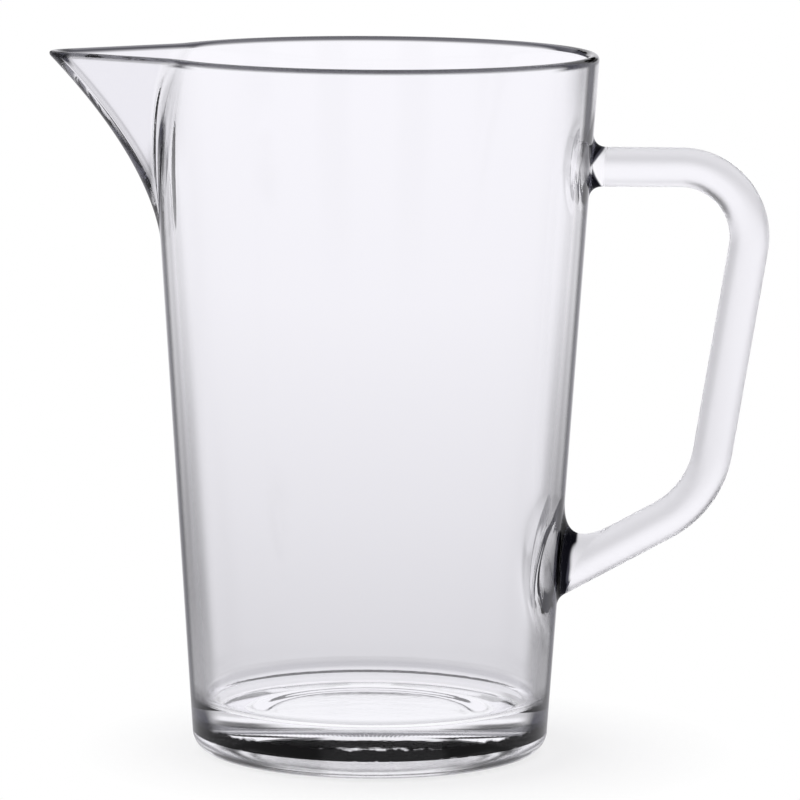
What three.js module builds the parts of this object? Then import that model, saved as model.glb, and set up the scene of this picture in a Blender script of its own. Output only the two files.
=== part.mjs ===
import * as THREE from "three";

// Clear glass pitcher in millimetres. The table is z = 0, the spout points to -X, the handle to +X.

// Body: a plain tapered cone with a heavy base.
const height = 190;
const rimRadius = 60.7;
const footRadius = 48.0;
const rimWall = 3.2;
const footWall = 4.2;
const floorThickness = 13.8;
const floorFillet = 3.5;
const heelRadius = 5.5;
const lipRadius = 1.6;

// Underside: a shallow push-up inside a flat bearing ring.
const pushUpDepth = 2.0;
const pushUpRadius = 25.0;
const ringWidth = 10.0;

// Beak spout pulled out of the rim.
const spoutLength = 27.6;
const spoutDrop = 52.0;
const spoutCurve = 1.7;
const spoutNoseRadius = 8.0;
const spoutAngle = THREE.MathUtils.degToRad(36);
const spoutRoot = 2.2;

// Handle: one round rod with two bends, flared where it is welded on.
const rodDiameter = 10.7;
const handleReach = 107.0;
const upperArmHeight = 159.5;
const upperBendRadius = 18.8;
const legLean = THREE.MathUtils.degToRad(9.1);
const lowerWeldHeight = 48.0;
const lowerArmRise = THREE.MathUtils.degToRad(28.5);
const lowerBendRadius = 26.0;
const upperFlareRadius = 4.0;
const lowerFlareTopRadius = 8.4;
const lowerFlareUnderRadius = 4.0;
const weldClearance = 0.3;
const weldEdge = 0.5;

// Mesh fineness.
const noseSteps = 10;
const flankSteps = 6;
const rootSteps = 14;
const backSteps = 42;
const spoutRings = 11;
const lipSteps = 6;
const heelSteps = 5;
const filletSteps = 4;
const rodSides = 24;
const bendSteps = 12;
const flareSteps = 6;
const faceSteps = 3;
const noseSector = THREE.MathUtils.degToRad(6);
const flankSector = THREE.MathUtils.degToRad(18);
const rootSector = THREE.MathUtils.degToRad(42);
const wallSearchSteps = 12;
const slopeStep = 1;

const rodRadius = rodDiameter / 2;
const lipStart = height - lipRadius;
const spoutStart = height - spoutDrop;

const blend = (from, to, share) => from + (to - from) * share;
const outerRadius = (z) => blend(footRadius, rimRadius, z / height);
const wallAt = (z) => blend(footWall, rimWall, z / height);
const innerRadius = (z) => outerRadius(z) - wallAt(z);

// How far the keel of the spout stands out of the cone, and its slope.
function keelRise(z) {
  const share = Math.max(0, (z - spoutStart) / spoutDrop);
  return spoutLength * share ** spoutCurve;
}

function keelSlope(z) {
  const share = Math.max(0, (z - spoutStart) / spoutDrop);
  return (spoutLength * spoutCurve * share ** (spoutCurve - 1)) / spoutDrop;
}

// Plan of the body at one height: a circle with a round-nosed beak, blended in at its two roots.
function spoutPlan(angle, circle, reach, nose) {
  if (reach <= circle) {
    return circle;
  }
  const turn = Math.abs(angle);
  const noseCentre = reach - nose;
  const tangent = Math.acos((circle - nose) / noseCentre);
  const flank = Math.max(Math.PI / 2 - spoutAngle, tangent);
  if (turn >= flank) {
    return circle;
  }
  const flankDistance = noseCentre * Math.cos(flank) + nose;
  const noseEnd = Math.atan2(
    nose * Math.sin(flank),
    noseCentre + nose * Math.cos(flank),
  );
  let beak = flankDistance / Math.cos(turn - flank);
  if (turn < noseEnd) {
    const across = noseCentre * Math.sin(turn);
    beak = noseCentre * Math.cos(turn) + Math.sqrt(nose ** 2 - across ** 2);
  }
  const root = Math.min(spoutRoot, reach - circle, circle - flankDistance);
  const overlap = Math.max(root - Math.abs(circle - beak), 0);
  const fill = overlap > 0 ? overlap ** 2 / (4 * root) : 0;
  return Math.max(circle, beak) + fill;
}

function outerPlan(angle, z) {
  const circle = outerRadius(z);
  return spoutPlan(angle, circle, circle + keelRise(z), spoutNoseRadius);
}

function innerPlan(angle, z) {
  const circle = innerRadius(z);
  const keelWall = wallAt(z) * Math.hypot(1, keelSlope(z));
  const reach = outerRadius(z) + keelRise(z) - keelWall;
  const nose = spoutNoseRadius - wallAt(z);
  return spoutPlan(angle, circle, reach, nose);
}

// Directions around the body, closer together over the spout.
function bodyAngles() {
  const angles = [];
  const sweep = (from, to, steps) => {
    for (let i = 0; i < steps; i += 1) {
      angles.push(blend(from, to, i / steps));
    }
  };
  sweep(-noseSector, noseSector, noseSteps);
  sweep(noseSector, flankSector, flankSteps);
  sweep(flankSector, rootSector, rootSteps);
  sweep(rootSector, 2 * Math.PI - rootSector, backSteps);
  sweep(-rootSector, -flankSector, rootSteps);
  sweep(-flankSector, -noseSector, flankSteps);
  return angles;
}

// Closes a stack of equal rings into one solid, with a point at each end.
function closedStack(firstPoint, rings, lastPoint) {
  const count = rings[0].length;
  const points = [firstPoint, ...rings.flat(), lastPoint];
  const last = points.length - 1;
  const at = (ring, side) => 1 + ring * count + (side % count);
  const faces = [];
  for (let side = 0; side < count; side += 1) {
    faces.push(0, at(0, side + 1), at(0, side));
    faces.push(last, at(rings.length - 1, side), at(rings.length - 1, side + 1));
    for (let ring = 0; ring + 1 < rings.length; ring += 1) {
      const [a, b] = [at(ring, side), at(ring, side + 1)];
      const [c, d] = [at(ring + 1, side + 1), at(ring + 1, side)];
      faces.push(a, b, c, a, c, d);
    }
  }
  const geometry = new THREE.BufferGeometry().setFromPoints(points);
  geometry.setIndex(faces);
  geometry.computeVertexNormals();
  return geometry;
}

function vesselGeometry() {
  const angles = bodyAngles();
  const ringOf = (radiusAt, z) =>
    angles.map((angle) => {
      const radius = radiusAt(angle);
      return new THREE.Vector3(-radius * Math.cos(angle), -radius * Math.sin(angle), z);
    });
  const rings = [];
  const round = (radius, z) => rings.push(ringOf(() => radius, z));

  const ringOuter = outerRadius(heelRadius) - heelRadius;
  round(pushUpRadius, pushUpDepth);
  round(ringOuter - ringWidth, 0);
  for (let i = 0; i <= heelSteps; i += 1) {
    const turn = (Math.PI / 2) * (i / heelSteps);
    round(ringOuter + heelRadius * Math.sin(turn), heelRadius * (1 - Math.cos(turn)));
  }

  const spoutHeights = [];
  for (let i = 0; i <= spoutRings; i += 1) {
    spoutHeights.push(blend(spoutStart, lipStart, i / spoutRings));
  }
  for (const z of spoutHeights) {
    rings.push(ringOf((angle) => outerPlan(angle, z), z));
  }

  for (let i = 1; i < lipSteps; i += 1) {
    const turn = Math.PI * (i / lipSteps);
    const z = lipStart + lipRadius * Math.sin(turn);
    const share = (1 - Math.cos(turn)) / 2;
    rings.push(
      ringOf((angle) => blend(outerPlan(angle, z), innerPlan(angle, z), share), z),
    );
  }

  for (const z of spoutHeights.reverse()) {
    rings.push(ringOf((angle) => innerPlan(angle, z), z));
  }
  const filletTop = floorThickness + floorFillet;
  const filletCentre = innerRadius(filletTop) - floorFillet;
  for (let i = 0; i <= filletSteps; i += 1) {
    const turn = (Math.PI / 2) * (i / filletSteps);
    const z = filletTop - floorFillet * Math.sin(turn);
    round(filletCentre + floorFillet * Math.cos(turn), z);
  }
  return closedStack(
    new THREE.Vector3(0, 0, pushUpDepth),
    rings,
    new THREE.Vector3(0, 0, floorThickness),
  );
}

// Centre line of the handle in its own plane, from the upper weld to the lower one.
function handleLine() {
  const onWall = (z) => new THREE.Vector2(outerRadius(z), z);
  const upperWeld = onWall(upperArmHeight);
  const lowerWeld = onWall(lowerWeldHeight);
  const upperCentre = new THREE.Vector2(
    handleReach - upperBendRadius - rodRadius,
    upperArmHeight - upperBendRadius,
  );
  const legDown = new THREE.Vector2(-Math.sin(legLean), -Math.cos(legLean));
  const legOut = new THREE.Vector2(Math.cos(legLean), -Math.sin(legLean));
  const legTop = upperCentre.clone().addScaledVector(legOut, upperBendRadius);
  const armOut = new THREE.Vector2(Math.cos(lowerArmRise), Math.sin(lowerArmRise));
  const between = lowerWeld.clone().sub(legTop);
  const legRun = between.cross(armOut) / legDown.cross(armOut);
  const corner = legTop.clone().addScaledVector(legDown, legRun);
  const bend = Math.PI / 2 - legLean - lowerArmRise;
  const cut = lowerBendRadius * Math.tan(bend / 2);
  const lowerStart = corner.clone().addScaledVector(legDown, -cut);
  const lowerCentre = lowerStart.clone().addScaledVector(legOut, -lowerBendRadius);
  return {
    upperWeld,
    lowerWeld,
    armOut,
    upperCentre,
    lowerCentre,
    upperTurn: Math.PI / 2 + legLean,
    lowerFrom: -legLean,
    lowerTurn: bend,
  };
}

// One flared end: rings that run from the plain rod down to the wall and across the end face.
function flaredEnd(weld, outward, flareRadiusAt) {
  const along = new THREE.Vector3(outward.x, 0, outward.y);
  const upward = new THREE.Vector3(-outward.y, 0, outward.x);
  const sideways = new THREE.Vector3(0, -1, 0);
  const start = new THREE.Vector3(weld.x, 0, weld.y);
  const place = (turn, across, run) =>
    start
      .clone()
      .addScaledVector(along, run)
      .addScaledVector(upward, across * Math.cos(turn))
      .addScaledVector(sideways, across * Math.sin(turn));
  const wallRun = (turn, across, gap) => {
    let run = 0;
    for (let i = 0; i < wallSearchSteps; i += 1) {
      const point = place(turn, across, run);
      const off = Math.hypot(point.x, point.y) - outerRadius(point.z) - gap;
      run -= off / along.x;
    }
    return run;
  };
  const gap = weldClearance + weldEdge;
  const profiles = [];
  for (let side = 0; side < rodSides; side += 1) {
    const turn = (2 * Math.PI * side) / rodSides;
    const wall = (across) => wallRun(turn, across, gap);
    const slopeAt = (across) =>
      (wall(across + slopeStep / 2) - wall(across - slopeStep / 2)) / slopeStep;
    const meet = Math.PI / 2 - Math.atan(slopeAt(rodRadius));
    const length = flareRadiusAt(turn) / Math.tan(meet / 2);
    const foot = rodRadius + length * Math.sin(meet);
    const knee = wall(foot) - slopeAt(foot) * (foot - rodRadius);
    const curve = new THREE.QuadraticBezierCurve(
      new THREE.Vector2(rodRadius, knee + length),
      new THREE.Vector2(rodRadius, knee),
      new THREE.Vector2(foot, wall(foot)),
    );
    profiles.push({ turn, foot, points: curve.getPoints(flareSteps) });
  }
  const rings = [];
  for (let i = 0; i <= flareSteps; i += 1) {
    rings.push(profiles.map(({ turn, points }) => place(turn, points[i].x, points[i].y)));
  }
  for (let i = faceSteps; i > 0; i -= 1) {
    rings.push(
      profiles.map(({ turn, foot }) => {
        const across = (foot * i) / faceSteps;
        return place(turn, across, wallRun(turn, across, weldClearance));
      }),
    );
  }
  return { rings, tip: place(0, 0, wallRun(0, 0, weldClearance)) };
}

function handleGeometry() {
  const line = handleLine();
  const upper = flaredEnd(line.upperWeld, new THREE.Vector2(1, 0), () => upperFlareRadius);
  const lower = flaredEnd(line.lowerWeld, line.armOut, (turn) =>
    blend(lowerFlareUnderRadius, lowerFlareTopRadius, (1 + Math.cos(turn)) / 2),
  );
  const bendRings = (centre, radius, from, sweep) => {
    const rings = [];
    for (let i = 0; i <= bendSteps; i += 1) {
      const facing = from - sweep * (i / bendSteps);
      const ring = [];
      for (let side = 0; side < rodSides; side += 1) {
        const turn = (2 * Math.PI * side) / rodSides;
        const out = radius + rodRadius * Math.cos(turn);
        ring.push(
          new THREE.Vector3(
            centre.x + out * Math.cos(facing),
            -rodRadius * Math.sin(turn),
            centre.y + out * Math.sin(facing),
          ),
        );
      }
      rings.push(ring);
    }
    return rings;
  };
  const upperBend = bendRings(
    line.upperCentre,
    upperBendRadius,
    Math.PI / 2,
    line.upperTurn,
  );
  const lowerBend = bendRings(
    line.lowerCentre,
    lowerBendRadius,
    line.lowerFrom,
    line.lowerTurn,
  );
  // The lower end counts its sides from the top of the arm, and the bend from its outer side.
  const half = rodSides / 2;
  const turned = (ring) =>
    ring.map((_, side) => ring[(half - side + rodSides) % rodSides]);
  const rings = [
    ...upper.rings.reverse(),
    ...upperBend,
    ...lowerBend,
    ...lower.rings.map(turned),
  ];
  return closedStack(upper.tip, rings, lower.tip);
}

const glass = () =>
  new THREE.MeshStandardMaterial({
    color: 0xf1f1f6,
    roughness: 0.02,
    transparent: true,
    opacity: 0.4,
  });

const pitcher = new THREE.Group();
pitcher.name = "pitcher";
const pieces = { vessel: vesselGeometry(), handle: handleGeometry() };

// The origin is under the middle of the whole object, from the spout's tip to the handle.
const whole = new THREE.Box3();
for (const geometry of Object.values(pieces)) {
  geometry.computeBoundingBox();
  whole.union(geometry.boundingBox);
}
const middle = whole.getCenter(new THREE.Vector3());
for (const [name, geometry] of Object.entries(pieces)) {
  geometry.translate(-middle.x, 0, 0);
  const mesh = new THREE.Mesh(geometry, glass());
  mesh.name = name;
  pitcher.add(mesh);
}

export default pitcher;
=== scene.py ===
import math

import bpy
import numpy as np
from mathutils import Matrix, Vector


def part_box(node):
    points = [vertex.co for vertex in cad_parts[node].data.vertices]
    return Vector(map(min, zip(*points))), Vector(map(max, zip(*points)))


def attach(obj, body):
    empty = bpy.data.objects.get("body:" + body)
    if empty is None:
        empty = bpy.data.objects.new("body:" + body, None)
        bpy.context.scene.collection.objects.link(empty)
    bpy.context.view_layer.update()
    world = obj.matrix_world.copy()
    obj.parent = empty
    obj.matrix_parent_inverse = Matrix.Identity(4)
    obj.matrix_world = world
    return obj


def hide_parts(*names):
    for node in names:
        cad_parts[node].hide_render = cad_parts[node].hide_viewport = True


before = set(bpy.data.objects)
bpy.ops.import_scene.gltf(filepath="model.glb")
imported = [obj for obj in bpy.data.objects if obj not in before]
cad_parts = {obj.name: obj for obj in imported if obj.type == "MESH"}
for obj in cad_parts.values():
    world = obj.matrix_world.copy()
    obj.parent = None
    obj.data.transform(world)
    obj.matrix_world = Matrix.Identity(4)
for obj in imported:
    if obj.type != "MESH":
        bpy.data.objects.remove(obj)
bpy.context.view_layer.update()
mm = 0.001


# Glass body, sizes in millimetres and degrees

vessel = {
    "height": 190.0,
    "rimRadius": 60.7,
    "footRadius": 48.0,
    "rimWall": 3.2,
    "footWall": 4.2,
    "floorThickness": 13.8,
    "floorFillet": 3.5,
    "heelRadius": 5.5,
    "lipRadius": 1.6,
    "pushUpDepth": 2.0,
    "pushUpCrown": 0.2,
    "pushUpStep": 7.9,
    "ringWidth": 10.0,
    "knurlDepth": 0.45,
    "knurlMargin": 1.0,
    "knurlEase": 1.2,
    "spoutLength": 27.6,
    "spoutDrop": 52.0,
    "spoutCurve": 1.7,
    "spoutNose": 8.0,
    "spoutAngle": 36.0,
    "spoutRoot": 2.2,
    "upperDimple": {"height": 159.5, "depth": 1.3, "halfWidth": 14.0, "halfHeight": 10.7},
    "lowerDimple": {"height": 50.0, "depth": 2.4, "halfWidth": 19.0, "halfHeight": 14.0},
}

# Handle rod, sizes in millimetres and degrees

handle = {
    "rodRadius": 5.35,
    "reach": 107.0,
    "upperArmHeight": 159.5,
    "upperBendRadius": 18.8,
    "legLean": 9.1,
    "lowerWeldHeight": 48.0,
    "lowerArmRise": 28.5,
    "lowerBendRadius": 26.0,
    "upperFlare": 4.0,
    "lowerFlareTop": 8.4,
    "lowerFlareUnder": 4.0,
}

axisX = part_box("handle")[1].x / mm - handle["reach"]
lipStart = vessel["height"] - vessel["lipRadius"]
spoutStart = vessel["height"] - vessel["spoutDrop"]

# Places of the finishes in each piece's list of materials

outerSkin, seamSkin, innerSkin, lipSkin, footSkin, heelSkin = range(6)
rodSkin, weldSkin = 0, 2


def blend(start, end, share):
    return start + (end - start) * share


def smoothStep(share):
    share = np.clip(share, 0.0, 1.0)
    return share * share * (3.0 - 2.0 * share)


def outerRadius(z):
    return blend(vessel["footRadius"], vessel["rimRadius"], z / vessel["height"])


def wallAt(z):
    return blend(vessel["footWall"], vessel["rimWall"], z / vessel["height"])


def spoutShare(z):
    return max(0.0, (z - spoutStart) / vessel["spoutDrop"])


def keelRise(z):
    return vessel["spoutLength"] * spoutShare(z) ** vessel["spoutCurve"]


def keelSlope(z):
    steep = spoutShare(z) ** (vessel["spoutCurve"] - 1.0)
    return vessel["spoutLength"] * vessel["spoutCurve"] * steep / vessel["spoutDrop"]


def spoutPlan(angles, circle, reach, nose):  # round body and a round-nosed beak, blended at its roots
    if reach <= circle:
        return np.full_like(angles, circle)
    turn = np.abs(np.arctan2(np.sin(angles), np.cos(angles)))
    noseCentre = reach - nose
    flank = math.pi / 2.0 - math.radians(vessel["spoutAngle"])
    flankDistance = noseCentre * math.cos(flank) + nose
    root = min(vessel["spoutRoot"], reach - circle, circle - flankDistance)
    noseEnd = math.atan2(nose * math.sin(flank), noseCentre + nose * math.cos(flank))
    side = flankDistance / np.cos(np.minimum(turn, flank) - flank)
    across = noseCentre * np.sin(np.minimum(turn, noseEnd))
    tip = noseCentre * np.cos(turn) + np.sqrt(nose**2 - across**2)
    beak = np.where(turn < noseEnd, tip, side)
    overlap = np.maximum(root - np.abs(circle - beak), 0.0)
    return np.maximum(circle, beak) + overlap**2 / (4.0 * root)


def outerPlan(angles, z):
    circle = outerRadius(z)
    return spoutPlan(angles, circle, circle + keelRise(z), vessel["spoutNose"])


def innerPlan(angles, z):
    circle = outerRadius(z) - wallAt(z)
    keelWall = wallAt(z) * math.hypot(1.0, keelSlope(z))
    reach = outerRadius(z) + keelRise(z) - keelWall
    return spoutPlan(angles, circle, reach, vessel["spoutNose"] - wallAt(z))


def dimple(angles, z):  # the wall is pressed in a little behind each weld
    depth = np.zeros_like(angles)
    for spot in (vessel["upperDimple"], vessel["lowerDimple"]):
        across = (angles - math.pi) * outerRadius(spot["height"]) / spot["halfWidth"]
        along = (z - spot["height"]) / spot["halfHeight"]
        depth += spot["depth"] * np.exp(-((across**2 + along**2) ** 2))
    return depth


def around(angles, radius, z):  # points in the frame, in metres
    x = axisX - radius * np.cos(angles)
    y = -radius * np.sin(angles)
    return np.stack([x, y, np.broadcast_to(z, x.shape)], axis=-1) * mm


class MeshMaker:  # collects rings of points and the faces between them
    def __init__(self):
        self.points = []
        self.faces = []
        self.finishes = []

    def add(self, points):
        first = len(self.points)
        self.points.extend(map(tuple, np.asarray(points).reshape(-1, 3)))
        return np.arange(first, len(self.points))

    def face(self, corners, finish):
        self.faces.append([int(c) for c in corners])
        self.finishes.append(finish)

    def bridge(self, first, second, finish):
        following = np.roll(first, -1), np.roll(second, -1)
        for a, b, c, d in zip(first, following[0], following[1], second):
            self.face((a, b, c, d), finish)

    def build(self, name, materials):
        mesh = bpy.data.meshes.new(name)
        mesh.from_pydata(self.points, [], self.faces)
        for material in materials:
            mesh.materials.append(material)
        mesh.polygons.foreach_set("material_index", self.finishes)
        mesh.polygons.foreach_set("use_smooth", [True] * len(self.faces))
        mesh.update()
        piece = bpy.data.objects.new(name, mesh)
        bpy.context.scene.collection.objects.link(piece)
        return piece


# Mesh fineness: counts of columns and rows, sectors in degrees, lengths in millimetres

fineness = {
    "noseColumns": 14,
    "flankColumns": 44,
    "sideColumns": 64,
    "weldColumns": 20,
    "noseSector": 7.0,
    "flankSector": 52.0,
    "sideSector": 160.0,
    "middleRadius": 3.0,
    "crownRows": 17,
    "stepRows": 8,
    "ringRows": 7,
    "knurlSplit": 3,
    "heelRows": 14,
    "footRows": 10,
    "gripRows": 24,
    "spoutFootRows": 6,
    "underLipRows": 18,
    "lipRows": 32,
    "filletRows": 12,
    "floorRows": 11,
    "patchRings": 6,
    "faceRings": 8,
    "flareRows": 22,
    "bendRows": 48,
    "wallSteps": 16,
    "slopeReach": 0.5,
}
weldWindows = {  # columns + rows are alike in both
    "lower": {"columns": 36, "rows": 28, "low": 33.0, "high": 77.0},
    "upper": {"columns": 26, "rows": 38, "low": 143.0, "high": 176.0},
}


def columnAngles():  # half a turn from the spout to the handle, then its mirror image
    sectors = [math.radians(fineness[k]) for k in ("noseSector", "flankSector", "sideSector")]
    edges = [0.0, *sectors, math.pi]
    counts = [fineness[k] for k in ("noseColumns", "flankColumns", "sideColumns", "weldColumns")]
    half = [np.linspace(a, b, n, endpoint=False) for a, b, n in zip(edges, edges[1:], counts)]
    half = np.append(np.concatenate(half), math.pi)
    return np.concatenate([half, 2.0 * math.pi - half[-2:0:-1]])


def wallHeights():
    lower, upper = weldWindows["lower"], weldWindows["upper"]
    spans = [
        (vessel["heelRadius"], lower["low"], fineness["footRows"]),
        (lower["low"], lower["high"], lower["rows"]),
        (lower["high"], spoutStart, fineness["gripRows"]),
        (spoutStart, upper["low"], fineness["spoutFootRows"]),
        (upper["low"], upper["high"], upper["rows"]),
        (upper["high"], lipStart, fineness["underLipRows"]),
    ]
    rows = [np.linspace(low, high, count, endpoint=False) for low, high, count in spans]
    return np.append(np.concatenate(rows), lipStart)


class WeldEnd:  # where the rod meets the wall, and the flare that joins them
    def __init__(self, name, height, rise, flareTop, flareUnder):
        self.sides = 2 * (weldWindows[name]["columns"] + weldWindows[name]["rows"])
        self.turns = np.arange(self.sides) * 2.0 * math.pi / self.sides
        self.along = np.array([math.cos(rise), 0.0, math.sin(rise)])
        self.upward = np.array([-math.sin(rise), 0.0, math.cos(rise)])
        self.sideways = np.array([0.0, -1.0, 0.0])
        self.middle = np.array([outerRadius(height), 0.0, height])
        self.shapeFlare(blend(flareUnder, flareTop, (1.0 + np.cos(self.turns)) / 2.0))

    def place(self, across, run):  # from distances off and along the rod's axis
        out = np.outer(np.cos(self.turns), self.upward) + np.outer(np.sin(self.turns), self.sideways)
        return self.middle + np.outer(run, self.along) + out * np.asarray(across)[:, None]

    def wallRun(self, across):  # how far along the axis the wall lies
        run = np.zeros(self.sides)
        for _ in range(fineness["wallSteps"]):
            x, y, z = self.place(across, run).T
            run -= (np.hypot(x, y) - outerRadius(z)) / self.along[0]
        return run

    def wallSlope(self, across):
        step = fineness["slopeReach"]
        return (self.wallRun(across + step) - self.wallRun(across - step)) / (2.0 * step)

    def shapeFlare(self, flares):
        rod = np.full(self.sides, handle["rodRadius"])
        meet = math.pi / 2.0 - np.arctan(self.wallSlope(rod))
        length = flares / np.tan(meet / 2.0)
        self.foot = rod + length * np.sin(meet)
        footRun = self.wallRun(self.foot)
        knee = footRun - self.wallSlope(self.foot) * (self.foot - rod)
        self.rings = []  # from the foot on the wall out to the plain rod
        for t in np.linspace(0.0, 1.0, fineness["flareRows"] + 1):
            near, mid, far = (1.0 - t) ** 2, 2.0 * t * (1.0 - t), t**2
            across = near * self.foot + mid * rod + far * rod
            run = near * footRun + mid * knee + far * (knee + length)
            self.rings.append(self.place(across, run))

    def faceRings(self):  # from the foot to the middle of the weld, all on the wall
        shares = np.linspace(1.0, 0.0, fineness["faceRings"] + 1)[1:-1]
        return [self.place(self.foot * s, self.wallRun(self.foot * s)) for s in shares]


def toFrame(points):  # from millimetres around the body's axis
    return (np.asarray(points) + np.array([axisX, 0.0, 0.0])) * mm


weldEnds = {
    "upper": WeldEnd("upper", handle["upperArmHeight"], 0.0, handle["upperFlare"], handle["upperFlare"]),
    "lower": WeldEnd(
        "lower",
        handle["lowerWeldHeight"],
        math.radians(handle["lowerArmRise"]),
        handle["lowerFlareTop"],
        handle["lowerFlareUnder"],
    ),
}


def weldPatch(maker, grid, heights, angles, end, window):  # wall around and under one weld
    rows, columns = window
    rim = [(rows[1], c) for c in range(columns[1], columns[0], -1)]
    rim += [(r, columns[0]) for r in range(rows[1], rows[0], -1)]
    rim += [(rows[0], c) for c in range(columns[0], columns[1])]
    rim += [(r, columns[1]) for r in range(rows[0], rows[1])]
    half = (columns[1] - columns[0]) // 2
    rim = rim[half:] + rim[:half]  # starts above the middle of the weld
    loop = np.array([grid[r][c] for r, c in rim])
    rimTurn = np.array([angles[c] for _, c in rim])
    rimHeight = np.array([heights[r] for r, _ in rim])
    foot = end.rings[0]
    footTurn = np.mod(np.arctan2(-foot[:, 1], -foot[:, 0]), 2.0 * math.pi)
    for share in np.linspace(0.0, 1.0, fineness["patchRings"] + 1)[1:]:
        z = blend(rimHeight, foot[:, 2], share)
        ring = maker.add(around(blend(rimTurn, footTurn, share), outerRadius(z), z))
        maker.bridge(loop, ring, outerSkin)
        loop = ring
    for points in end.faceRings():
        ring = maker.add(toFrame(points))
        maker.bridge(loop, ring, seamSkin)
        loop = ring
    middle = maker.add(toFrame(end.middle))[0]
    for a, b in zip(loop, np.roll(loop, -1)):
        maker.face((a, b, middle), seamSkin)


def undersideRows(angles):  # radius, heights and angles of each ring, from the middle outwards
    ringOuter = outerRadius(vessel["heelRadius"]) - vessel["heelRadius"]
    ringInner = ringOuter - vessel["ringWidth"]
    crownEdge = ringInner - vessel["pushUpStep"]
    level = np.ones_like(angles)
    rows = []
    for radius in np.linspace(fineness["middleRadius"], crownEdge, fineness["crownRows"] + 1):
        z = vessel["pushUpDepth"] - vessel["pushUpCrown"] * (radius / crownEdge) ** 2
        rows.append((radius, z * level, angles))
    for share in np.linspace(0.0, 1.0, fineness["stepRows"] + 1)[1:]:
        z = (vessel["pushUpDepth"] - vessel["pushUpCrown"]) * (1.0 - smoothStep(share))
        rows.append((blend(crownEdge, ringInner, share), z * level, angles))

    closed = np.append(angles, 2.0 * math.pi)
    parts = [np.linspace(a, b, fineness["knurlSplit"], endpoint=False) for a, b in zip(closed, closed[1:])]
    fine = np.concatenate(parts)
    knurl = 0.5 - 0.5 * np.cos(np.arange(len(fine)) * math.pi)
    inside, outside = ringInner + vessel["knurlMargin"], ringOuter - vessel["knurlMargin"]
    for radius in np.linspace(inside, outside, fineness["ringRows"] + 1):
        edge = min(radius - inside, outside - radius)
        depth = vessel["knurlDepth"] * smoothStep(edge / vessel["knurlEase"])
        rows.append((radius, depth * knurl, fine))
    rows.append((ringOuter, 0.0 * level, angles))
    return rows


def stitch(maker, first, second, finish):  # joins a coarse ring and a fine one
    split = fineness["knurlSplit"]
    count = min(len(first), len(second))
    for k in range(count):
        after = (k + 1) % count
        fineSide = [(k * split + i) % (count * split) for i in range(split + 1)]
        if len(first) < len(second):
            corners = [first[k], first[after]] + [second[i] for i in reversed(fineSide)]
        else:
            corners = [first[i] for i in fineSide] + [second[after], second[k]]
        maker.face(corners, finish)


def underside(maker, angles):  # push-up and knurled bearing ring
    loop = None
    for radius, z, turns in undersideRows(angles):
        ring = maker.add(around(turns, radius, z))
        if loop is None:
            maker.face(ring[::-1], footSkin)
        elif len(loop) == len(ring):
            maker.bridge(loop, ring, footSkin)
        else:
            stitch(maker, loop, ring, footSkin)
        loop = ring
    return loop


def heelAndWall(maker, angles, loop):  # the outside, from the bearing ring up to the rim
    heelCentre = outerRadius(vessel["heelRadius"]) - vessel["heelRadius"]
    for turn in np.linspace(0.0, math.pi / 2.0, fineness["heelRows"] + 1)[1:-1]:
        z = vessel["heelRadius"] * (1.0 - math.cos(turn))
        ring = maker.add(around(angles, heelCentre + vessel["heelRadius"] * math.sin(turn), z))
        maker.bridge(loop, ring, heelSkin)
        loop = ring

    heights = wallHeights()
    grid = [maker.add(around(angles, outerPlan(angles, z), z)) for z in heights]
    maker.bridge(loop, grid[0], heelSkin)
    back = len(angles) // 2
    windows = []
    for name, window in weldWindows.items():
        first = int(np.argmin(np.abs(heights - window["low"])))
        half = window["columns"] // 2
        windows.append((name, (first, first + window["rows"]), (back - half, back + half)))
    for r in range(len(heights) - 1):
        for c in range(len(angles)):
            if any(rows[0] <= r < rows[1] and columns[0] <= c < columns[1] for _, rows, columns in windows):
                continue
            after = (c + 1) % len(angles)
            maker.face((grid[r][c], grid[r][after], grid[r + 1][after], grid[r + 1][c]), outerSkin)
    for name, rows, columns in windows:
        weldPatch(maker, grid, heights, angles, weldEnds[name], (rows, columns))
    return grid[-1]


def lipAndInside(maker, angles, loop):  # over the rim, down the wall and across the floor
    for turn in np.linspace(0.0, math.pi, fineness["lipRows"] + 1)[1:-1]:
        z = lipStart + vessel["lipRadius"] * math.sin(turn)
        radius = blend(outerPlan(angles, z), innerPlan(angles, z), (1.0 - math.cos(turn)) / 2.0)
        ring = maker.add(around(angles, radius, z))
        maker.bridge(loop, ring, lipSkin)
        loop = ring

    filletTop = vessel["floorThickness"] + vessel["floorFillet"]
    filletCentre = outerRadius(filletTop) - wallAt(filletTop) - vessel["floorFillet"]
    rows = []
    for z in wallHeights()[::-1]:
        if z > filletTop:
            rows.append((innerPlan(angles, z) - dimple(angles, z), z))
    for turn in np.linspace(0.0, math.pi / 2.0, fineness["filletRows"] + 1):
        z = filletTop - vessel["floorFillet"] * math.sin(turn)
        rows.append((filletCentre + vessel["floorFillet"] * math.cos(turn), z))
    for radius in np.linspace(filletCentre, fineness["middleRadius"], fineness["floorRows"] + 1)[1:]:
        rows.append((radius, vessel["floorThickness"]))
    for radius, z in rows:
        ring = maker.add(around(angles, radius, z))
        maker.bridge(loop, ring, innerSkin)
        loop = ring
    maker.face(loop, innerSkin)


def makeVessel(materials):
    maker = MeshMaker()
    angles = columnAngles()
    bearingRim = underside(maker, angles)
    wallTop = heelAndWall(maker, angles, bearingRim)
    lipAndInside(maker, angles, wallTop)
    return maker.build("vessel_glass", materials)


def crossOf(first, second):
    return first.x * second.y - first.y * second.x


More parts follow.
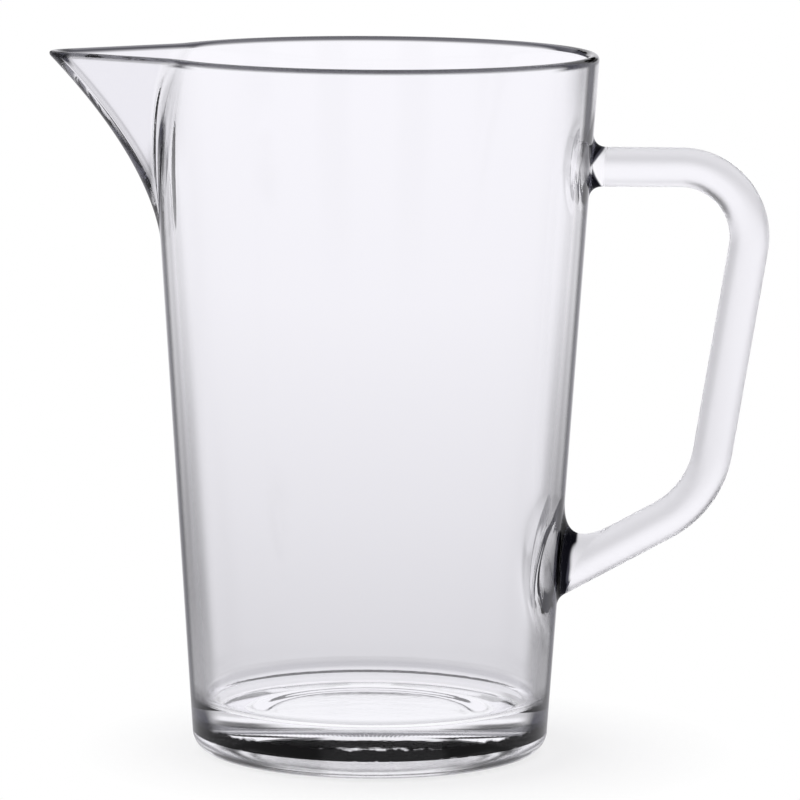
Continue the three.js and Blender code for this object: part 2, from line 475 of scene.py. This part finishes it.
def handleBends():  # centres and angles of both bends in the handle's plane
    lean, rise = math.radians(handle["legLean"]), math.radians(handle["lowerArmRise"])
    upperRadius, lowerRadius = handle["upperBendRadius"], handle["lowerBendRadius"]
    upperX = handle["reach"] - upperRadius - handle["rodRadius"]
    upperCentre = Vector((upperX, handle["upperArmHeight"] - upperRadius))
    legDown = Vector((-math.sin(lean), -math.cos(lean)))
    legOut = Vector((math.cos(lean), -math.sin(lean)))
    legTop = upperCentre + legOut * upperRadius
    armOut = Vector((math.cos(rise), math.sin(rise)))
    weld = Vector((outerRadius(handle["lowerWeldHeight"]), handle["lowerWeldHeight"]))
    corner = legTop + legDown * (crossOf(weld - legTop, armOut) / crossOf(legDown, armOut))
    bend = math.pi / 2.0 - lean - rise
    lowerCentre = corner - legDown * lowerRadius * math.tan(bend / 2.0) - legOut * lowerRadius
    return [
        (upperCentre, upperRadius, math.pi / 2.0, math.pi / 2.0 + lean),
        (lowerCentre, lowerRadius, -lean, bend),
    ]


def makeHandle(materials):
    maker = MeshMaker()
    upper, lower = weldEnds["upper"], weldEnds["lower"]
    out = handle["rodRadius"] * np.cos(upper.turns)
    side = -handle["rodRadius"] * np.sin(upper.turns)
    rings = [maker.add(toFrame(points)) for points in upper.rings]
    for centre, radius, start, sweep in handleBends():
        for turn in np.linspace(start, start - sweep, fineness["bendRows"] + 1):
            x = centre.x + (radius + out) * math.cos(turn)
            z = centre.y + (radius + out) * math.sin(turn)
            rings.append(maker.add(toFrame(np.stack([x, side, z], axis=-1))))
    # The arm's top is the bend's inner side, so the lower rings run the other way round
    order = (lower.sides // 2 - np.arange(lower.sides)) % lower.sides
    rings += [maker.add(toFrame(points[order])) for points in reversed(lower.rings)]
    flareRows = fineness["flareRows"]
    for k, (first, second) in enumerate(zip(rings, rings[1:])):
        onFlare = k < flareRows or k >= len(rings) - 1 - flareRows
        maker.bridge(first, second, weldSkin if onFlare else rodSkin)

    for end, rim, picks in ((upper, rings[0], np.arange(upper.sides)), (lower, rings[-1], order)):
        loop = rim
        for points in end.faceRings():
            ring = maker.add(toFrame(points[picks]))
            pair = (ring, loop) if end is upper else (loop, ring)
            maker.bridge(*pair, seamSkin)
            loop = ring
        middle = maker.add(toFrame(end.middle))[0]
        loop = loop[::-1] if end is upper else loop
        for a, b in zip(loop, np.roll(loop, -1)):
            maker.face((a, b, middle), seamSkin)

    piece = maker.build("handle_glass", materials)
    rims = set(map(int, rings[0])), set(map(int, rings[-1]))
    sharp = [any(set(e.vertices) <= rim for rim in rims) for e in piece.data.edges]
    piece.data.attributes.new("sharp_edge", "BOOLEAN", "EDGE").data.foreach_set("value", sharp)
    return piece


# Clear glass, shared by all the finishes

glass = {
    "ior": 1.25,
    "tint": (0.985, 0.985, 0.992, 1.0),
    # the near-black colour painted onto the glass as shade
    "dark": (0.005, 0.005, 0.008, 1.0),
    "facingBlend": 0.5,
}


def nodeMaker(tree):  # adds a shader node: at3 is its fourth inlet, other words name an inlet
    def add(kind, outlet=0, settings=None, **inlets):
        node = tree.nodes.new(kind)
        for name, value in (settings or {}).items():
            setattr(node, name, value)
        for name, value in inlets.items():
            socket = node.inputs[int(name[2:]) if name.startswith("at") else name]
            if isinstance(value, bpy.types.NodeSocket):
                tree.links.new(value, socket)
            else:
                socket.default_value = value
        return node.outputs[outlet]

    return add


def plainGlass(name):
    material = bpy.data.materials.new(name)
    material.use_nodes = True
    shader = material.node_tree.nodes["Principled BSDF"]
    shader.inputs["Base Color"].default_value = glass["tint"]
    shader.inputs["Roughness"].default_value = 0.0
    shader.inputs["IOR"].default_value = glass["ior"]
    shader.inputs["Transmission Weight"].default_value = 1.0
    return material, nodeMaker(material.node_tree), shader


def maths(add, operation, first, second=0.0, third=0.0):
    return add("ShaderNodeMath", 0, {"operation": operation}, at0=first, at1=second, at2=third)


def mixColour(add, share, first, second):
    return add("ShaderNodeMix", 2, {"data_type": "RGBA"}, at0=share, at6=first, at7=second)


def straight(add, value, span, low, high):  # from low to high as the value crosses the span
    return add("ShaderNodeMapRange", 0, at0=value, at1=span[0], at2=span[1], at3=low, at4=high)


def ease(add, value, start, end):  # from 0 to 1, softly at both ends
    return add("ShaderNodeMapRange", 0, {"interpolation_type": "SMOOTHSTEP"}, at0=value, at1=start, at2=end)


def inMetres(span):
    return [length * mm for length in span]


def easeLength(add, value, span):  # the same as ease, with the span in millimetres
    return ease(add, value, *inMetres(span))


def facingOf(add):  # 0 where the glass faces the eye, 1 where it turns away
    return add("ShaderNodeLayerWeight", "Facing", Blend=glass["facingBlend"])


def noiseOf(add, scale, detail):
    place = add("ShaderNodeTexCoord", "Object")
    return add("ShaderNodeTexNoise", 0, Vector=place, Scale=scale, Detail=detail)


def wallDistance(add):  # how far a point stands off the round wall, and its height
    place = add("ShaderNodeTexCoord", "Object")
    centred = add("ShaderNodeVectorMath", 0, {"operation": "SUBTRACT"}, at0=place, at1=(axisX * mm, 0.0, 0.0))
    height = add("ShaderNodeSeparateXYZ", "Z", Vector=centred)
    flat = add("ShaderNodeVectorMath", 0, {"operation": "MULTIPLY"}, at0=centred, at1=(1.0, 1.0, 0.0))
    radius = add("ShaderNodeVectorMath", "Value", {"operation": "LENGTH"}, at0=flat)
    radii = vessel["footRadius"] * mm, vessel["rimRadius"] * mm
    wall = straight(add, height, (0.0, vessel["height"] * mm), *radii)
    return maths(add, "SUBTRACT", radius, wall), height


# Painted shade on the outside of the wall: turns from the eye as shares, heights and reaches in millimetres

wallLook = {
    "edgeTurn": (0.44, 0.65),
    "footDepth": 0.46,
    "footFade": (45.0, 130.0),
    "baseDepth": 0.62,
    "baseFade": (11.0, 20.0),
    "topDepth": 0.38,
    "topRise": (160.0, 184.0),
    "weldDepth": 0.55,
    "weldFade": (25.0, 13.0),
    "outlineTurn": (0.74, 0.83),
    "topLineStart": (0.66, 0.73),
    "topLineEnd": (0.85, 0.78),
    "topLineRise": (152.0, 172.0),
    "rimShadeTurn": (0.38, 0.50),
    "rimShadeRise": (187.5, 188.3),
}


# Painted shade: how strongly the wall's sides are painted dark, more near the foot, the base, the top and
# around the welds
def paintedEdgeShade(add, height):  # how dark the sides of the wall look, by height and near the welds
    foot = straight(add, height, inMetres(wallLook["footFade"]), wallLook["footDepth"], 0.0)
    base = straight(add, height, inMetres(wallLook["baseFade"]), wallLook["baseDepth"], 0.0)
    top = straight(add, height, inMetres(wallLook["topRise"]), 0.0, wallLook["topDepth"])
    depth = maths(add, "ADD", maths(add, "ADD", foot, base), top)
    place = add("ShaderNodeTexCoord", "Object")
    for end in weldEnds.values():
        middle = tuple(toFrame(end.middle))
        away = add("ShaderNodeVectorMath", "Value", {"operation": "DISTANCE"}, at0=place, at1=middle)
        near = maths(add, "MULTIPLY", easeLength(add, away, wallLook["weldFade"]), wallLook["weldDepth"])
        depth = maths(add, "ADD", depth, near)
    return depth


# Painted shade in the glass colour: dark sides, dark outlines, a thin dark line near the top and dark ends of
# the rim, by how far the surface turns from the eye
def paintedWallShade(add, height, facing):  # clear in front, dark along both outlines and at the ends of the rim
    edge = maths(add, "MULTIPLY", ease(add, facing, *wallLook["edgeTurn"]), paintedEdgeShade(add, height))
    edge = maths(add, "MINIMUM", edge, 1.0)
    outline = ease(add, facing, *wallLook["outlineTurn"])
    lineStart = ease(add, facing, *wallLook["topLineStart"])
    lineEnd = ease(add, facing, *wallLook["topLineEnd"])
    line = maths(add, "MULTIPLY", lineStart, lineEnd)
    nearTop = easeLength(add, height, wallLook["topLineRise"])
    outline = add("ShaderNodeMix", 0, at0=nearTop, at2=outline, at3=line)
    kept = maths(add, "MULTIPLY", maths(add, "SUBTRACT", 1.0, edge), maths(add, "SUBTRACT", 1.0, outline))
    wall = mixColour(add, maths(add, "MULTIPLY", kept, kept), glass["dark"], glass["tint"])
    rimShadeTurn = ease(add, facing, *wallLook["rimShadeTurn"])
    rimShadeRise = easeLength(add, height, wallLook["rimShadeRise"])
    return mixColour(add, maths(add, "MULTIPLY", rimShadeTurn, rimShadeRise), wall, glass["dark"])


# Outside of the spout, a little grey, with painted shade along the keel and at the tip: the keel's turns at
# its foot and near its tip, lengths in millimetres

spoutLook = {
    "tint": (0.88, 0.878, 0.895, 1.0),
    "keelTurnStart": (0.20, 0.46),
    "keelTurnFull": (0.38, 0.70),
    "keelRise": (158.0, 178.0),
    "keelClear": (187.0, 181.0),
    "offWall": (0.5, 2.0),
    "darkTip": (21.8, 23.6),
}


# Painted shade: the keel is painted dark where it turns from the eye, fading out near the rim
def spoutPaintedShade(add, height, facing):
    rise = inMetres(spoutLook["keelRise"])
    start = straight(add, height, rise, *spoutLook["keelTurnStart"])
    full = straight(add, height, rise, *spoutLook["keelTurnFull"])
    below = easeLength(add, height, spoutLook["keelClear"])
    keel = maths(add, "MULTIPLY", ease(add, facing, start, full), below)
    return mixColour(add, keel, spoutLook["tint"], glass["dark"])


# Painted shade: a dark band painted around the outside just above the heel, its edges rippled by noise, in
# millimetres

bandLook = {
    "low": 5.0,
    "high": 9.0,
    "soft": 0.4,
    "ripple": 0.55,
    "grainScale": 420.0,
    "grainDetail": 3.0,
    "grainRange": (0.3, 0.7),
    "tint": (0.0002, 0.0002, 0.0002, 1.0),
}


# Painted shade: the share of the dark band at each height
def paintedShadeBand(add, height):
    grain = noiseOf(add, bandLook["grainScale"], bandLook["grainDetail"])
    ripple = bandLook["ripple"] * mm
    level = maths(add, "ADD", height, straight(add, grain, bandLook["grainRange"], -ripple, ripple))
    low, high, soft = bandLook["low"], bandLook["high"], bandLook["soft"]
    aboveLow = easeLength(add, level, (low - soft, low + soft))
    belowHigh = easeLength(add, level, (high + soft, high - soft))
    return maths(add, "MULTIPLY", aboveLow, belowHigh)


def outerGlass():
    material, add, shader = plainGlass("outer_glass")
    distance, height = wallDistance(add)
    facing = facingOf(add)
    onSpout = easeLength(add, distance, spoutLook["offWall"])
    colour = mixColour(add, onSpout, paintedWallShade(add, height, facing), spoutPaintedShade(add, height, facing))
    # Painted shade: the dark band above the heel is painted over the glass colour
    colour = mixColour(add, paintedShadeBand(add, height), colour, bandLook["tint"])
    # Painted shade: the tip of the spout is painted dark
    colour = mixColour(add, easeLength(add, distance, spoutLook["darkTip"]), colour, glass["dark"])
    material.node_tree.links.new(colour, shader.inputs["Base Color"])
    return material


# Handle rod, a little hazy all along the grip

rodLook = {
    "roughness": 0.40,
    "ior": 1.18,
    "coat": 0.3,
    "coatRoughness": 0.04,
    "streakScale": 40.0,
    "streakDetail": 3.0,
    "streakTint": (0.96, 0.96, 0.97, 1.0),
}


def rodGlass():
    material, add, shader = plainGlass("rod_glass")
    shader.inputs["Roughness"].default_value = rodLook["roughness"]
    shader.inputs["IOR"].default_value = rodLook["ior"]
    shader.inputs["Coat Weight"].default_value = rodLook["coat"]
    shader.inputs["Coat Roughness"].default_value = rodLook["coatRoughness"]
    streaks = noiseOf(add, rodLook["streakScale"], rodLook["streakDetail"])
    colour = mixColour(add, streaks, glass["tint"], rodLook["streakTint"])
    material.node_tree.links.new(colour, shader.inputs["Base Color"])
    return material


# Flares of the welds, painted black as shade where they turn from the eye near the wall, lengths in
# millimetres

weldLook = {
    "ior": 1.05,
    "turn": (0.10, 0.22),
    "reach": 4.6,
    "slant": 0.72,
    "soft": 0.8,
    "hazeRise": (1.5, 5.5),
}


def weldGlass():
    material, add, shader = plainGlass("weld_glass")
    shader.inputs["IOR"].default_value = weldLook["ior"]
    distance, height = wallDistance(add)
    # The reach grows away from the upper arm's axis, so the lower weld has all of it
    offAxis = maths(add, "ABSOLUTE", maths(add, "SUBTRACT", height, handle["upperArmHeight"] * mm))
    slanted = maths(add, "MULTIPLY", offAxis, weldLook["slant"])
    reach = maths(add, "MINIMUM", slanted, weldLook["reach"] * mm)
    near = easeLength(add, maths(add, "SUBTRACT", distance, reach), (0.0, -weldLook["soft"]))
    turned = ease(add, facingOf(add), *weldLook["turn"])
    # Painted shade: the flare is painted dark near the wall where it turns from the eye
    colour = mixColour(add, maths(add, "MULTIPLY", turned, near), glass["tint"], glass["dark"])
    material.node_tree.links.new(colour, shader.inputs["Base Color"])
    haze = straight(add, distance, inMetres(weldLook["hazeRise"]), 0.0, rodLook["roughness"])
    material.node_tree.links.new(haze, shader.inputs["Roughness"])
    return material


# Inside, whose corner between wall and floor is painted darker as shade, lengths in millimetres

innerLook = {
    "paintedCornerShade": (0.55, 0.55, 0.57, 1.0),
    "aboveFloor": (0.2, 1.0),
    "underFilletTop": (0.5, 2.0),
}


def innerGlass():
    material, add, shader = plainGlass("inner_glass")
    _, height = wallDistance(add)
    floor = vessel["floorThickness"]
    filletTop = floor + vessel["floorFillet"]
    rise = easeLength(add, height, [floor + gap for gap in innerLook["aboveFloor"]])
    fall = easeLength(add, height, [filletTop - gap for gap in innerLook["underFilletTop"]])
    # Painted shade: the band from the floor up to the fillet's top is painted darker
    colour = mixColour(add, maths(add, "MULTIPLY", rise, fall), glass["tint"], innerLook["paintedCornerShade"])
    material.node_tree.links.new(colour, shader.inputs["Base Color"])
    return material


# Round of the rim, with painted shade: dark along its top, at both ends and at the tip, lengths in
# millimetres

lipLook = {
    "tint": (0.06, 0.06, 0.07, 1.0),
    "darkRise": (188.4, 189.3),
    "endsFall": (189.9, 189.5),
    "darkTip": (20.3, 22.8),
}


def lipGlass():
    material, add, shader = plainGlass("lip_glass")
    distance, height = wallDistance(add)
    # Painted shade: a dark line along the rim's top, dark ends where it turns from the eye, and a dark tip at
    # the spout
    top = easeLength(add, height, lipLook["darkRise"])
    line = mixColour(add, top, glass["tint"], lipLook["tint"])
    turned = ease(add, facingOf(add), *wallLook["rimShadeTurn"])
    ends = maths(add, "MULTIPLY", turned, easeLength(add, height, lipLook["endsFall"]))
    line = mixColour(add, ends, line, glass["dark"])
    colour = mixColour(add, easeLength(add, distance, lipLook["darkTip"]), line, glass["dark"])
    material.node_tree.links.new(colour, shader.inputs["Base Color"])
    return material


# Foot and heel, which keep a little of the mould's grain, its depth in millimetres

footLook = {
    "ringRoughness": 0.0,
    "heelRoughness": 0.2,
    "grainScale": 350.0,
    "grainDetail": 2.0,
    "grainStrength": 0.02,
    "grainDepth": 1.0,
}


def footGlass(name, roughness):
    material, add, shader = plainGlass(name)
    shader.inputs["Roughness"].default_value = roughness
    grain = noiseOf(add, footLook["grainScale"], footLook["grainDetail"])
    strength, depth = footLook["grainStrength"], footLook["grainDepth"] * mm
    bump = add("ShaderNodeBump", 0, Strength=strength, Distance=depth, Height=grain)
    material.node_tree.links.new(bump, shader.inputs["Normal"])
    return material


def weldSeam():  # fused glass has no surface between the two pieces
    material = bpy.data.materials.new("fused_weld")
    material.use_nodes = True
    nodes, links = material.node_tree.nodes, material.node_tree.links
    clear = nodes.new("ShaderNodeBsdfTransparent")
    links.new(clear.outputs["BSDF"], nodes["Material Output"].inputs["Surface"])
    nodes.remove(nodes["Principled BSDF"])
    return material


seam = weldSeam()
vesselPiece = makeVessel([
    outerGlass(),
    seam,
    innerGlass(),
    lipGlass(),
    footGlass("foot_glass", footLook["ringRoughness"]),
    footGlass("heel_glass", footLook["heelRoughness"]),
])
handlePiece = makeHandle([rodGlass(), seam, weldGlass()])
for piece, node, slot in ((vesselPiece, "vessel", "body_glass"), (handlePiece, "handle", "handle_glass")):
    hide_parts(node)
    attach(piece, "root")
print("glass pieces", len(vesselPiece.data.polygons), len(handlePiece.data.polygons))


# Camera, lengths in millimetres and turns in degrees

view = {
    "distance": 1557.4,
    "height": 309.4,
    "pitch": 7.813,
    "yaw": 0.28,
    "roll": 0.40,
    "lens": 261.1,
    "clipEnd": 50000.0,
}


def makeCamera():
    camera = bpy.data.objects.new("camera", bpy.data.cameras.new("camera"))
    camera.data.lens = view["lens"]
    camera.data.clip_end = view["clipEnd"] * mm
    turn = Matrix.Rotation(-math.radians(view["yaw"]), 4, "Z")
    tilt = Matrix.Rotation(math.pi / 2.0 - math.radians(view["pitch"]), 4, "X")
    roll = Matrix.Rotation(math.radians(view["roll"]), 4, "Z")
    place = Matrix.Translation(Vector((axisX, -view["distance"], view["height"])) * mm)
    camera.matrix_world = place @ turn @ tilt @ roll
    bpy.context.scene.collection.objects.link(camera)
    bpy.context.scene.camera = camera


makeCamera()
print("camera")


# Floor and the paper under the foot, lengths in millimetres

ground = {
    "floorRadius": 6000.0,
    "floorDrop": 0.2,
    "floorColour": (0.9, 0.9, 0.9, 1.0),
    "shadowSpan": (47.0, 90.0),
    "shadowGlow": 0.7,
    "paperRadius": 44.0,
    "paperDrop": 0.1,
    "paperColour": (1.0, 1.0, 1.02, 1.0),
    "discSides": 64,
}
white = (1.0, 1.0, 1.0, 1.0)


def makeDisc(name, middleX, radius, drop, material):
    turns = np.linspace(0.0, 2.0 * math.pi, ground["discSides"], endpoint=False)
    depth = np.full_like(turns, -drop)
    points = np.stack([middleX + radius * np.cos(turns), radius * np.sin(turns), depth], axis=-1) * mm
    mesh = bpy.data.meshes.new(name)
    mesh.from_pydata(points.tolist(), [], [list(range(len(turns)))])
    mesh.materials.append(material)
    disc = bpy.data.objects.new(name, mesh)
    bpy.context.scene.collection.objects.link(disc)
    return disc


def paleFloor():  # white to the camera, but for the shadow around the foot
    material = bpy.data.materials.new("pale_floor")
    material.use_nodes = True
    tree = material.node_tree
    add = nodeMaker(tree)
    shader = tree.nodes["Principled BSDF"]
    shader.inputs["Base Color"].default_value = ground["floorColour"]
    shader.inputs["Roughness"].default_value = 1.0
    place = add("ShaderNodeTexCoord", "Object")
    distance = add("ShaderNodeVectorMath", "Value", {"operation": "LENGTH"}, at0=place)
    fade = straight(add, distance, inMetres(ground["shadowSpan"]), ground["shadowGlow"], 1.0)
    share = maths(add, "MULTIPLY", fade, add("ShaderNodeLightPath", "Is Camera Ray"))
    glow = add("ShaderNodeEmission", 0, Color=white, Strength=1.0)
    mixed = add("ShaderNodeMixShader", 0, at0=share, at1=shader.outputs["BSDF"], at2=glow)
    tree.links.new(mixed, tree.nodes["Material Output"].inputs["Surface"])
    return material


def litPaper():
    material = bpy.data.materials.new("lit_paper")
    material.use_nodes = True
    tree = material.node_tree
    glow = nodeMaker(tree)("ShaderNodeEmission", 0, Color=ground["paperColour"], Strength=1.0)
    tree.links.new(glow, tree.nodes["Material Output"].inputs["Surface"])
    return material


def makeFloor():
    floor = makeDisc("floor", 0.0, ground["floorRadius"], ground["floorDrop"], paleFloor())
    floor.visible_transmission = False
    floor.visible_glossy = False


def makeFootPaper():  # the pale floor right under the foot, as the glass shows it
    paper = makeDisc("foot_paper", axisX, ground["paperRadius"], ground["paperDrop"], litPaper())
    paper.visible_camera = False
    paper.visible_diffuse = False
    paper.visible_glossy = False
    paper.visible_shadow = False


# Studio: brightness of the surroundings by elevation, in degrees

studio = {
    "sky": [
        (-90, 0.74), (-45, 0.80), (-20, 0.80), (-14, 0.68), (-11.3, 0.65), (-10.5, 0.72), (-9, 0.83),
        (-7, 0.94), (-4.5, 0.99), (90, 1.0),
    ],
    "skyTint": (0.99, 0.98, 1.02),
    "spacing": 45.0,
    "flagLow": 8.5,
    "flagHigh": 14.0,
    "flagSideHigh": 20.0,
    "flagLevel": 0.01,
    "flagSoftness": 1.0,
    "flagGap": 8.0,
    "gapShift": 2.0,
    "gapOpen": 0.9,
    "gapHigh": 16.0,
    "screenHalfWidth": 14.0,
    "screenSoftness": 4.0,
    "besideScreen": 0.68,
    "besideHigh": 0.12,
    "dimLow": -11.7,
    "horizonLow": -4.0,
    "horizonHigh": 1.5,
    "bounces": 40,
    "glossBounces": 20,
    "clearBounces": 24,
}


def grey(level):
    return (level, level, level, 1.0)


def studioLight(add, direction, elevation, sky):  # a ring of bright screens, dark flags above and between
    def rises(value, start, softness=studio["flagSoftness"]):
        return ease(add, value, math.radians(start - softness), math.radians(start + softness))

    def times(first, second):
        return maths(add, "MULTIPLY", first, second)

    def less(first, second):
        return maths(add, "SUBTRACT", first, second)

    half = math.radians(studio["spacing"]) / 2.0

    def fromMiddle(bearing):  # angle from the middle of the nearest screen
        return maths(add, "ABSOLUTE", maths(add, "WRAP", bearing, half, -half))

    parts = add("ShaderNodeSeparateXYZ", 0, Vector=direction).node.outputs
    bearing = maths(add, "ARCTAN2", parts["X"], parts["Y"])
    shifted = maths(add, "ADD", bearing, math.radians(studio["gapShift"]))
    past = rises(fromMiddle(bearing), studio["screenHalfWidth"], studio["screenSoftness"])
    aboveLow = rises(elevation, studio["flagLow"])
    aboveHigh = rises(elevation, studio["flagHigh"])
    taller = times(past, less(aboveHigh, rises(elevation, studio["flagSideHigh"])))
    inGap = less(1.0, rises(fromMiddle(shifted), studio["flagGap"]))
    lowGap = times(inGap, less(1.0, rises(elevation, studio["gapHigh"])))
    shut = less(1.0, times(lowGap, studio["gapOpen"]))
    flag = times(maths(add, "ADD", less(aboveLow, aboveHigh), taller), shut)
    below = less(rises(elevation, studio["dimLow"]), rises(elevation, studio["horizonLow"]))
    above = less(rises(elevation, studio["horizonHigh"]), aboveLow)
    dimBelow = times(below, 1.0 - studio["besideScreen"])
    dimAbove = times(above, 1.0 - studio["besideHigh"])
    dimmed = times(maths(add, "ADD", dimBelow, dimAbove), past)
    shaded = mixColour(add, dimmed, sky, grey(0.0))
    return mixColour(add, flag, shaded, grey(studio["flagLevel"]))


def skyRamp(tree, share):  # from straight down at 0 to straight up at 1
    ramp = tree.nodes.new("ShaderNodeValToRGB")
    stops = ramp.color_ramp.elements
    for _ in studio["sky"][2:]:  # a new ramp has two stops
        stops.new(0.5)
    for stop, (degrees, level) in zip(stops, studio["sky"]):
        stop.position = degrees / 180.0 + 0.5
        stop.color = [level * part for part in studio["skyTint"]] + [1.0]
    tree.links.new(share, ramp.inputs["Fac"])
    return ramp.outputs["Color"]


def makeWorld():
    world = bpy.data.worlds.new("studio")
    world.use_nodes = True
    bpy.context.scene.world = world
    tree = world.node_tree
    add = nodeMaker(tree)
    direction = add("ShaderNodeTexCoord", "Generated")
    elevation = maths(add, "ARCSINE", add("ShaderNodeSeparateXYZ", "Z", Vector=direction))
    share = straight(add, elevation, (-math.pi / 2.0, math.pi / 2.0), 0.0, 1.0)
    shaded = studioLight(add, direction, elevation, skyRamp(tree, share))
    colour = mixColour(add, add("ShaderNodeLightPath", "Is Camera Ray"), shaded, white)
    tree.links.new(colour, tree.nodes["Background"].inputs["Color"])


makeFloor()
makeFootPaper()
makeWorld()
settings = bpy.context.scene
settings.view_settings.view_transform = "Standard"
settings.cycles.max_bounces = studio["bounces"]
settings.cycles.transmission_bounces = studio["bounces"]
settings.cycles.glossy_bounces = studio["glossBounces"]
settings.cycles.transparent_max_bounces = studio["clearBounces"]
print("studio")
